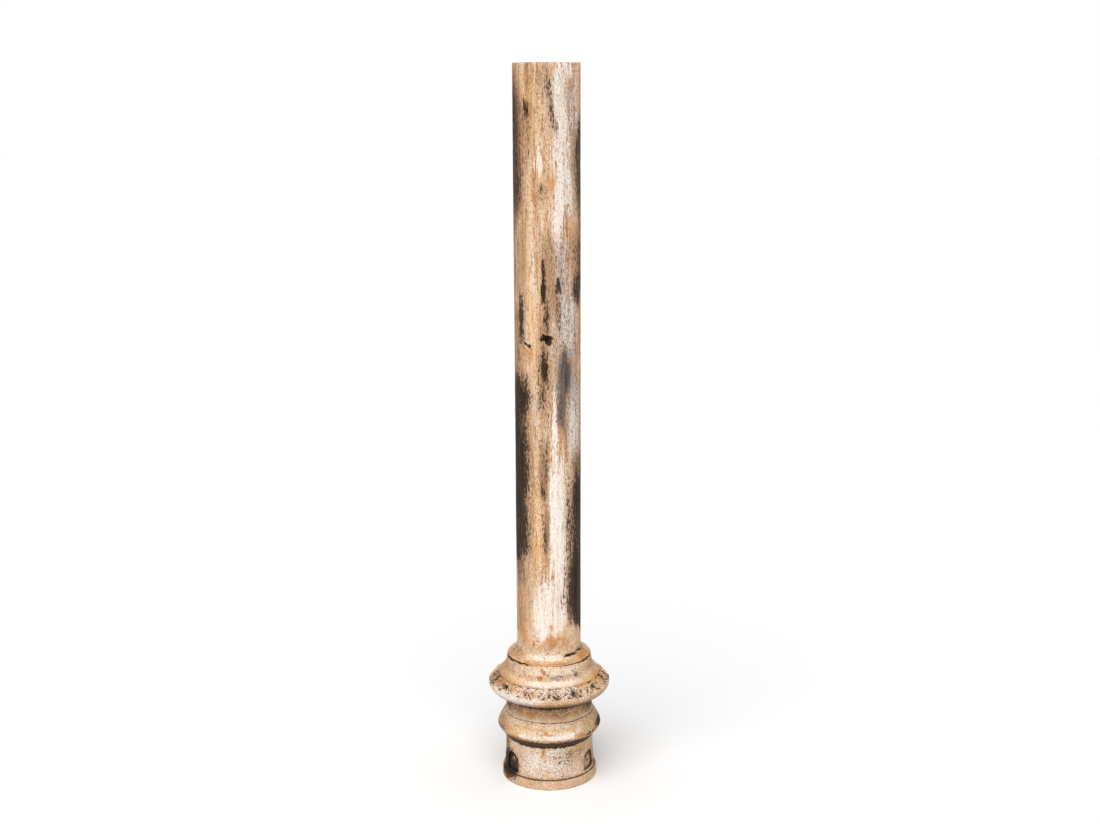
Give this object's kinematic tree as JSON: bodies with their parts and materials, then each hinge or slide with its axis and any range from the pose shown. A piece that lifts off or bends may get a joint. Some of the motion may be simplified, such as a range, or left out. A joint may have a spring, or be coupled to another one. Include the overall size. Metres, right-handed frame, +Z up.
{
  "type": "cast iron column base and shaft",
  "caption": "Hollow cast iron column: plain round shaft rising from a turned base with a leaf-carved ring, a heavy roll and a drum with three sunk arched niches, cut flat at both ends",
  "frame": {"origin": "middle of the underside, on the column's axis", "axes": "+Z up the column, -Y its front, the side with the oval casting fault, +X to the right as seen from the front"},
  "size_m": [0.2172, 0.2172, 1.2595],
  "materials": {
    "weathered_iron": "old cream paint worn to tan, ochre rust and black iron in long upright streaks"
  },
  "bodies": {
    "root": {"column": "weathered_iron"}
  },
  "joints": []
}
